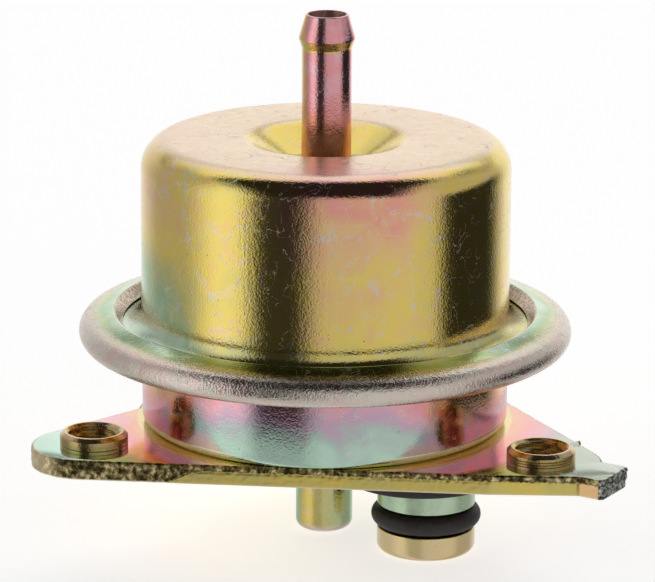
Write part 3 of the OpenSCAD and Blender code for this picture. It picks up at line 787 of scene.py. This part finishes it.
# %% Seal ring and washer
ring_low, ring_high = low_mm("spigot_o_ring"), high_mm("spigot_o_ring")
ring_r = (ring_high.z - ring_low.z) / 2
ring_mid_r = ring_high.x - spigot_at.x - ring_r
RING_SEGMENTS = 40
ring_section = circle_section(ring_r, RING_SEGMENTS, (ring_mid_r, 0, ring_mid_z))
make_piece(spin_section(ring_section, spigot_at, SPIGOT_STEPS), "seal_ring", ["black_rubber_skin"],
           "spigot_o_ring")

washer_r = (high_mm("seal_washer").x - low_mm("seal_washer").x) / 2
washer_at = (high_mm("seal_washer") + low_mm("seal_washer")) / 2
washer_hole_r = neck_r + fit_gap + spigot_at.x - washer_at.x
washer_at.z = 0
washer_corners = [(washer_hole_r, washer_low, 0.1), (washer_r, washer_low, 0.3),
                  (washer_r, 0, 0.15), (washer_hole_r, 0, 0.1)]
turn_piece(washer_corners, "rubber_washer", "black_rubber_skin", "seal_washer",
           washer_at, SPIGOT_STEPS)

# %% [markdown]
# ## The plate's outline
# The plate is sheared from strip: a round back about the main axis, a round plain ear, and an ear
# that ends in the stub of the strip. The outline is drawn with a pencil of two moves: a straight
# line to a point, and an arc about a centre, which is one vertex spun by an angle.

# %% Pencil for the outline
plate_r, ear_r, ear_over, tab_ear_r = 19.3, 5.6, 0.7, 6.1
ear_slope, tab_angle = 50, -25
tab_root, tab_reach, tab_half, front_run = 3.9, 8.3, 2.85, 8.6
tip_round, toe_round = 0.9, 0.5
ARC_STEP, TEAR_STEP = 4, 0.24
front_y = screw_middle.y - ear_r


def direction(degrees):
    return Vector((math.cos(math.radians(degrees)), math.sin(math.radians(degrees)), 0))


def line_to(bm, vert, point):
    new = bm.verts.new(point)
    bm.edges.new((vert, new))
    return new


def arc_to(bm, vert, centre, degrees):
    """Spins the last vertex about a centre and returns the arc's end."""
    steps = max(4, round(abs(degrees) / ARC_STEP))
    made = spin(bm, [vert], centre, math.radians(degrees), steps)
    return next(item for item in made["geom_last"] if isinstance(item, bmesh.types.BMVert))


def draw_outline(bm):
    """The plate's outline, clockwise from the plain ear's front, as a closed wire at z = 0."""
    ear = plain_hole - Vector((ear_over, 0, 0))
    ear_side = ear_slope + 90
    reach = ear.dot(direction(ear_side)) + ear_r
    meet = ear_side + math.degrees(math.acos(reach / plate_r))
    heading = math.degrees(math.atan2(tab_hole.y, tab_hole.x))
    tangent = heading + math.degrees(math.acos((plate_r - tab_ear_r) / tab_hole.length))
    along, across = direction(tab_angle), direction(tab_angle + 90)
    tab_start = tab_angle + math.degrees(math.asin(tab_half / tab_ear_r))
    first = bm.verts.new((ear.x, front_y, 0))
    vert = arc_to(bm, first, ear, ear_side - 270)
    vert = line_to(bm, vert, plate_r * direction(meet))
    vert = arc_to(bm, vert, (0, 0, 0), tangent - meet)
    vert = line_to(bm, vert, tab_hole + tab_ear_r * direction(tangent))
    vert = arc_to(bm, vert, tab_hole, tab_start - tangent)
    tip = line_to(bm, vert, tab_hole + tab_reach * along + tab_half * across)
    toe = line_to(bm, tip, tab_hole + tab_reach * along - tab_half * across)
    side = tab_hole - tab_half * across
    root = side + along * ((tab_hole.x + tab_root - side.x) / along.x)
    vert = line_to(bm, toe, root)
    vert = line_to(bm, vert, (root.x - front_run, front_y, 0))
    bm.edges.new((vert, first))
    round_corner(bm, tip, tip_round)
    round_corner(bm, toe, toe_round)
    for edge in [edge for edge in bm.edges if edge.calc_length() > 2 * TEAR_STEP]:
        cuts = round(edge.calc_length() / TEAR_STEP) - 1
        bmesh.ops.subdivide_edges(bm, edges=[edge], cuts=cuts)
    return bm.edges[:]


print("plate radius", plate_r, "mm, front edge at", round(front_y, 2), "mm")

# %% [markdown]
# ## The torn edge
# Shears leave a smooth band and a torn one. The walls are split into rows and moved by noise, most
# in the torn band. The tab's broken end gets a burr, and the back edge one small spur. Bump alone
# could not change the outline.

# %% Torn edge and burr
TEAR_DEPTH, TEAR_ROWS, TEAR_GRAIN, TEAR_SHIFT = 0.09, 8, 3.1, 0.4
TORN_LOW, TORN_HIGH, TORN_EAR_X, CUT_SHARE = 0.62, 0.84, -13, 0.16
BURR_RUN, BURR_LOW, BURR_OUT, BURR_UP, BURR_GRAIN = 0.5, 0.4, 0.36, 0.14, 2.3
SPUR_AT, SPUR_R, SPUR_PULL = Vector((26.2, -6.35, plate_t)), 0.55, Vector((0.25, 0.2, 0.35))


def tear_edge(bm, walls):
    """Moves the walls in and out, most in the torn band near the top and at the plain ear."""
    uprights = [edge for edge in {edge for face in walls for edge in face.edges}
                if abs(edge.verts[0].co.z - edge.verts[1].co.z) > 0.5]
    bmesh.ops.subdivide_edges(bm, edges=uprights, cuts=TEAR_ROWS, use_grid_fill=True)
    bm.normal_update()
    for vert in bm.verts:
        outward = Vector((vert.normal.x, vert.normal.y, 0)).normalized()
        height = vert.co.z / plate_t
        low = 0 if vert.co.x < TORN_EAR_X else TORN_LOW
        torn = 1.0 if low < height < TORN_HIGH else CUT_SHARE
        rough = noise.noise(vert.co * TEAR_GRAIN) - TEAR_SHIFT
        vert.co += outward * TEAR_DEPTH * torn * rough


def raise_burr(bm, end):
    """Pulls the broken end's upper rim out and up, and one small spur on the plate's back edge."""
    along = direction(tab_angle)
    pull = BURR_OUT * along + Vector((0, 0, BURR_UP))
    for vert in bm.verts:
        near = (vert.co - end).dot(along) + BURR_RUN
        if near > 0 and vert.co.z > BURR_LOW * plate_t:
            share = min(near / BURR_RUN, 1) * (vert.co.z / plate_t)
            vert.co += pull * share * (1 + noise.noise(vert.co * BURR_GRAIN))
        spur = 1 - (vert.co - SPUR_AT).length / SPUR_R
        if spur > 0:
            vert.co += spur * SPUR_PULL


print("tear depth", TEAR_DEPTH, "mm,", TEAR_ROWS, "rows")

# %% [markdown]
# ## The plate with its collars
# Each collar was pulled up out of the plate, so plate and collars are one skin. The outline is
# filled, pulled up to the plate's thickness and torn, and its edges are rounded by three insets.
# The collars' open sections are spun, and both faces are filled again round their open ends.

# %% Plate
collar_r, collar_bevel, mouth_bevel = 3.4, 0.4, 0.25
ridge_start, ridge_pitch, ridge_half, ridge_depth = 0.16, 0.26, 0.06, 0.09
top_round, low_round = 0.24, 0.12
ROUNDING_INSETS = ((0.14, 0.5), (0.36, 0.36), (0.5, 0.14))
COLLAR_STEPS = 72
RAW_RUN = 0.6
FACE, EDGE, RAW, COLLAR = 0, 1, 2, 3


def spin_collar(bm, hole, ridges):
    """Spins a collar's open section, from the plate's top over the crown and down the bore."""
    corners = [(collar_r, plate_t, 0)]
    for k in range(ridges):
        z = plate_t + ridge_start + ridge_pitch * k
        corners += [(collar_r, z, 0), (collar_r - ridge_depth, z + ridge_half, 0),
                    (collar_r, z + 2 * ridge_half, 0)]
    corners += [
        (collar_r, collar_top - collar_bevel, 0.12), (collar_r - collar_bevel, collar_top, 0.12),
        (thread_r + mouth_bevel, collar_top, 0.08), (thread_r, collar_top - mouth_bevel, 0.08),
        (thread_r, mouth_bevel, 0), (thread_r + mouth_bevel, 0, 0),
    ]
    part = spin_section(draw_section(corners, closed=False), hole, COLLAR_STEPS)
    mesh = bpy.data.meshes.new("collar_part")
    part.to_mesh(mesh)
    part.free()
    start = len(bm.faces)
    bm.from_mesh(mesh)
    bpy.data.meshes.remove(mesh)
    bm.faces.ensure_lookup_table()
    for face in bm.faces[start:]:
        face.material_index = COLLAR


def step_in(bm, face, rounding, lift):
    """Rounds a face's edge by three insets that also raise it."""
    for width, rise in ROUNDING_INSETS:
        bmesh.ops.inset_region(bm, faces=[face], thickness=width * rounding, depth=0,
                               use_even_offset=True, use_boundary=True)
        bmesh.ops.translate(bm, verts=face.verts, vec=(0, 0, lift * rise * rounding))
    return face


def refill(bm, face, level):
    """Replaces a plain face by one with holes at the collars' open ends on that level."""
    rim = set(face.edges)
    bmesh.ops.delete(bm, geom=[face], context="FACES_ONLY")
    holes = {edge for edge in bm.edges if edge.is_boundary
             and all(abs(vert.co.z - level) < WELD for vert in edge.verts)}
    filled = bmesh.ops.triangle_fill(bm, use_beauty=True, use_dissolve=False,
                                     edges=list(rim | holes))
    for item in filled["geom"]:
        if isinstance(item, bmesh.types.BMFace):
            item.material_index = FACE


def make_plate():
    bm = bmesh.new()
    outline = draw_outline(bm)
    bottom = bmesh.ops.contextual_create(bm, geom=outline)["faces"][0]
    bmesh.ops.translate(bm, verts=bm.verts, vec=(0, 0, low_round))
    pulled = bmesh.ops.extrude_face_region(bm, geom=[bottom], use_keep_orig=True)["geom"]
    top = next(item for item in pulled if isinstance(item, bmesh.types.BMFace))
    bmesh.ops.translate(bm, verts=top.verts, vec=(0, 0, plate_t - low_round - top_round))
    tear_edge(bm, [face for face in bm.faces if face not in (top, bottom)])
    for face in bm.faces:
        face.material_index = EDGE
    top = step_in(bm, top, top_round, 1)
    bottom = step_in(bm, bottom, low_round, -1)
    spin_collar(bm, plain_hole, 1)
    spin_collar(bm, tab_hole, 3)
    refill(bm, top, plate_t)
    refill(bm, bottom, 0)
    end = tab_hole + tab_reach * direction(tab_angle)
    for face in bm.faces:
        beyond = (face.calc_center_median() - end).dot(direction(tab_angle))
        if face.material_index == EDGE and beyond > -RAW_RUN:
            face.material_index = RAW
    raise_burr(bm, end)
    bmesh.ops.recalc_face_normals(bm, faces=bm.faces)
    return bm


plate_skins = ["rose_plate_face", "sheared_edge", "raw_break", "bronze_collar"]
make_piece(make_plate(), "sheared_plate", plate_skins, "mounting_plate")

# %% [markdown]
# ## Screw threads
# The collars are tapped. A thread is one small tooth spun round the bore while it climbs by one
# pitch in each turn. Two planes then trim it at the mouths.

# %% Threads
thread_pitch, thread_depth, thread_sink = 0.8, 0.30, 0.02
crest_low, crest_high = 0.36, 0.46
THREAD_TURNS, THREAD_STEPS = 8, 48


def spin_coil(bm, centre, pitch, turns, per_turn):
    """Spins a section round an axis while it climbs by one pitch in each turn."""
    spin(bm, bm.verts[:] + bm.edges[:], centre, 2 * math.pi * turns, turns * per_turn,
         climb=pitch / per_turn)


def trim_between(bm, low, high):
    """Cuts off what lies below one level or above the other."""
    for level, normal in ((low, -1), (high, 1)):
        bmesh.ops.bisect_plane(bm, geom=bm.verts[:] + bm.edges[:] + bm.faces[:], dist=1e-5,
                               plane_co=(0, 0, level), plane_no=(0, 0, normal), clear_outer=True)


def make_thread(hole):
    bm = bmesh.new()
    root_r, crest_r = thread_r + thread_sink, thread_r - thread_depth
    tooth = [(root_r, 0.0), (crest_r, crest_low), (crest_r, crest_high), (root_r, thread_pitch)]
    verts = [bm.verts.new((hole.x + r, hole.y, z - 2 * thread_pitch)) for r, z in tooth]
    for a, b in zip(verts, verts[1:]):
        bm.edges.new((a, b))
    spin_coil(bm, hole, thread_pitch, THREAD_TURNS, THREAD_STEPS)
    bmesh.ops.remove_doubles(bm, verts=bm.verts, dist=WELD)
    trim_between(bm, mouth_bevel, collar_top - mouth_bevel)
    inward = sum(face.normal.dot(hole - face.calc_center_median()) for face in bm.faces)
    if inward < 0:
        bmesh.ops.reverse_faces(bm, faces=bm.faces)
    return bm


for name, hole in (("plain_thread", plain_hole), ("tab_thread", tab_hole)):
    make_piece(make_thread(hole), name, ["bronze_collar"])

# %% [markdown]
# ## Main spring
# Spring and diaphragm are sealed inside, but they bend when the valve lifts, so each is made as a
# piece with a mesh of its own. The spring is a round wire spun while it climbs, with its ends
# ground flat by two planes. A curve with a round profile could make it too, but has no flat ends.

# %% Main spring
spring_low, spring_high = low_mm("main_spring").z, high_mm("main_spring").z
wire_r, coil_r, coil_turns = 1.2, 11.5, 6
WIRE_SEGMENTS, COIL_STEPS = 12, 40
ground = 0.5 * wire_r
climb = (spring_high - spring_low - 2 * ground) / coil_turns
coil = circle_section(wire_r, WIRE_SEGMENTS, (coil_r, 0, spring_low + ground))
spin_coil(coil, (0, 0, 0), climb, coil_turns, COIL_STEPS)
trim_between(coil, spring_low, spring_high)
bmesh.ops.holes_fill(coil, edges=[edge for edge in coil.edges if edge.is_boundary], sides=0)
bmesh.ops.recalc_face_normals(coil, faces=coil.faces)
main_coil = make_piece(coil, "main_coil", ["bare_steel_skin"], "main_spring")

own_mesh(main_coil)

# %% [markdown]
# ## Diaphragm
# The diaphragm is cloth with rubber on it. It is clamped in the rim and at the valve, and a fold
# between wall and dish lets the valve move. Its section is bent sheet again.

# %% Diaphragm
rivet_r, fold_gap = 2.83, 0.15
membrane_mid = cap_low - membrane_t / 2
middle_z = low_mm("diaphragm").z + membrane_t / 2
inner_leg_r = high_mm("spring_plate").x + fold_gap + membrane_t / 2
outer_leg_r = cap_r - sheet_t - fold_gap - membrane_t / 2
crown_bend = BEND_SHARE * (outer_leg_r - inner_leg_r)
crown_z = high_mm("diaphragm").z - membrane_t / 2
membrane_line = [
    (rivet_r, middle_z, 0), (inner_leg_r, middle_z, membrane_t), (inner_leg_r, crown_z, crown_bend),
    (outer_leg_r, crown_z, crown_bend), (outer_leg_r, membrane_mid, membrane_t),
    (flange_r, membrane_mid, 0),
]
membrane = turn_piece(close_sheet(membrane_line, membrane_t, 0), "rolling_diaphragm",
                      "rubbered_cloth", "diaphragm", steps=SMALL_STEPS)
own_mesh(membrane)

# %% [markdown]
# ## Pieces that keep their solids
# The valve's small parts are sealed in and already have their true form, so they keep the solids'
# meshes and only get the bare steel finish.

# %% Finish of the inner solids
kept_solids = ("valve_seat", "inlet_strainer", "backing_plate", "spring_plate", "valve_holder",
               "valve_ball", "ball_spring", "ball_retainer")
for name in kept_solids:
    mesh = frame["nodes"][name].data
    mesh.materials.clear()
    mesh.materials.append(bpy.data.materials["bare_steel_skin"])
print("bare steel on", len(kept_solids), "inner solids")

# %% [markdown]
# ## Floor and table card
# The floor takes the soft shadow only, and the metal doesn't mirror it. In its place the metal
# mirrors a smaller round card just below, dimmer than the walls. The card ends near the part: past
# its edge the metal sees the tent's dark gap, which is the dark patch low on the cup's wall.

# %% Floor and table card
FLOOR_GAP = 0.05
floor_z = min(spigot_low, tube_low) - FLOOR_GAP
FLOOR_SIZE, FLOOR_GLOW = 3.0, 0.62
CARD_R, CARD_DROP, CARD_LIGHT, CARD_SHARE = 58.0, 0.1, 0.62, 0.7


def lay_sheet(bm, name, material_name, level):
    """Lays a flat shape at a level in millimetres and gives it a material."""
    bmesh.ops.translate(bm, verts=bm.verts, vec=(0, 0, level * MM))
    sheet = make_object(bm, name)
    material = bpy.data.materials.new(material_name)
    material.use_nodes = True
    sheet.data.materials.append(material)
    open_tree(material.node_tree)
    return sheet


bm = bmesh.new()
bmesh.ops.create_grid(bm, x_segments=1, y_segments=1, size=FLOOR_SIZE)
floor = lay_sheet(bm, "floor", "pale_floor", floor_z)
skin = tree.nodes["Principled BSDF"].inputs
skin["Base Color"].default_value = (0.92, 0.92, 0.92, 1)
skin["Roughness"].default_value = 0.9
skin["Specular IOR Level"].default_value = 0.0
skin["Emission Color"].default_value = (1, 1, 1, 1)
skin["Emission Strength"].default_value = FLOOR_GLOW
floor.visible_glossy = False

bm = bmesh.new()
bmesh.ops.create_circle(bm, cap_ends=True, segments=SMALL_STEPS, radius=CARD_R * MM)
card = lay_sheet(bm, "table_card", "table_card", floor_z - CARD_DROP)
glow = add("Emission", {"Strength": CARD_LIGHT}).outputs[0]
clear = add("BsdfTransparent").outputs[0]
both = add("MixShader", {0: CARD_SHARE, 1: clear, 2: glow}).outputs[0]
tree.links.new(both, tree.nodes["Material Output"].inputs["Surface"])
card.visible_camera = card.visible_diffuse = False
card.visible_shadow = card.visible_transmission = False
print("floor at", round(floor_z, 2), "mm, card of radius", CARD_R, "mm")

# %% [markdown]
# ## Light
# The photograph looks taken in a white tent. Polished metal shows its surroundings, so the world is
# drawn as such a tent: bright walls whose brightness follows the azimuth, a soft dark gap left of
# the camera, a low dark flag on the right, a dark opening overhead and a thin seam at the back.
# Lamps could light the part as well, but they would show as spots in the metal. The camera itself
# sees plain white.

# %% World as a studio tent
camera_azimuth = math.radians(5.56)
TENT_WALLS = [
    (-180, 1.05), (-150, 0.75), (-128, 0.42), (-95, 0.44), (-82, 0.75), (-70, 1.05), (-54, 0.95),
    (-47, 0.45), (-41, 0.04), (-16, 0.035), (-9, 0.36), (-2, 0.58), (50, 0.66), (72, 0.58),
    (78, 0.06), (84, 0.025), (124, 0.03), (133, 0.40), (146, 0.95), (180, 1.05),
]
ABOVE_FLAG, ROOF, OPENING = (0.60, 0.60, 0.60, 1), (0.95, 0.95, 0.95, 1), (0.02, 0.02, 0.02, 1)

world = bpy.data.worlds.new("studio_tent")
bpy.context.scene.world = world
world.use_nodes = True
open_tree(world.node_tree)
turn = {"Vector": add("TexCoord").outputs["Generated"], "Angle": -camera_azimuth}
turned = add("VectorRotate", turn, rotation_type="Z_AXIS").outputs[0]
x, y, z = add("SeparateXYZ", {0: turned}).outputs
front = times(y, -1.0)
azimuth = maths("ARCTAN2", x, front)
share = add("MapRange", {0: azimuth, 1: -math.pi, 2: math.pi}).outputs[0]
stops = [((angle + 180) / 360, (light,) * 3) for angle, light in TENT_WALLS]
over_flag = times(step(z, 0.02, 0.20), step(x, 0.55, 0.80, 0.0, 0.8))
walls = mix_colour(over_flag, ramp(share, stops), ABOVE_FLAG)
upper = mix_colour(step(z, 0.60, 0.78), walls, ROOF)
over = maths("DEGREES", maths("ARCTAN2", z, front))
gap = times(step(over, 30, 44), step(over, 113, 101))
seam = times(step(over, 146, 150), step(over, 158, 154, 0.0, 0.6))
middle = step(maths("ABSOLUTE", x), 0.80, 0.56)
roofed = mix_colour(times(plus(gap, seam), middle), upper, OPENING)
seen = add("LightPath").outputs["Is Camera Ray"]
background = tree.nodes["Background"].inputs
tree.links.new(mix_colour(seen, roofed, (1, 1, 1, 1)), background["Color"])
background["Strength"].default_value = 1.0
print("tent walls:", len(TENT_WALLS), "steps")

# %% [markdown]
# ## Camera
# The camera was fitted to the photograph's circles and edges: a long lens, a little to the right
# of the front and above it. The point where the main axis passes a known height has to land on its
# own pixel, so the aim is shifted by that pixel's distance from the picture's middle. A lens shift
# would do the same.

# %% Camera
camera_elevation, camera_distance = math.radians(14.45), 400.0
SENSOR_MM = 36.0
IMAGE_W, IMAGE_H = 655, 582
focal_px = 3960.0
axis_point_px = (325.42, 226.0)
axis_point = Vector((0, 0, 22.0))
camera_roll = math.radians(0.38)

data = bpy.data.cameras.new("photo_camera")
data.sensor_width = SENSOR_MM
data.lens = focal_px / IMAGE_W * SENSOR_MM
data.clip_start, data.clip_end = 0.01, 20
camera = bpy.data.objects.new("photo_camera", data)
bpy.context.scene.collection.objects.link(camera)
level, rise = math.cos(camera_elevation), math.sin(camera_elevation)
aside, ahead = math.sin(camera_azimuth), math.cos(camera_azimuth)
back = Vector((aside * level, -ahead * level, rise))
right = Vector((ahead, aside, 0))
up = back.cross(right)
place = axis_point + camera_distance * back
right_px, down_px = IMAGE_W / 2 - axis_point_px[0], IMAGE_H / 2 - axis_point_px[1]
aim = axis_point + (right * right_px - up * down_px) * camera_distance / focal_px
look = (aim - place).to_track_quat("-Z", "Y").to_matrix().to_4x4()
roll = Matrix.Rotation(camera_roll, 4, "Z")
camera.matrix_world = Matrix.Translation(place * MM) @ look @ roll
bpy.context.scene.camera = camera
bpy.context.scene.view_settings.view_transform = "Standard"
print("camera at", [round(value, 4) for value in camera.location])
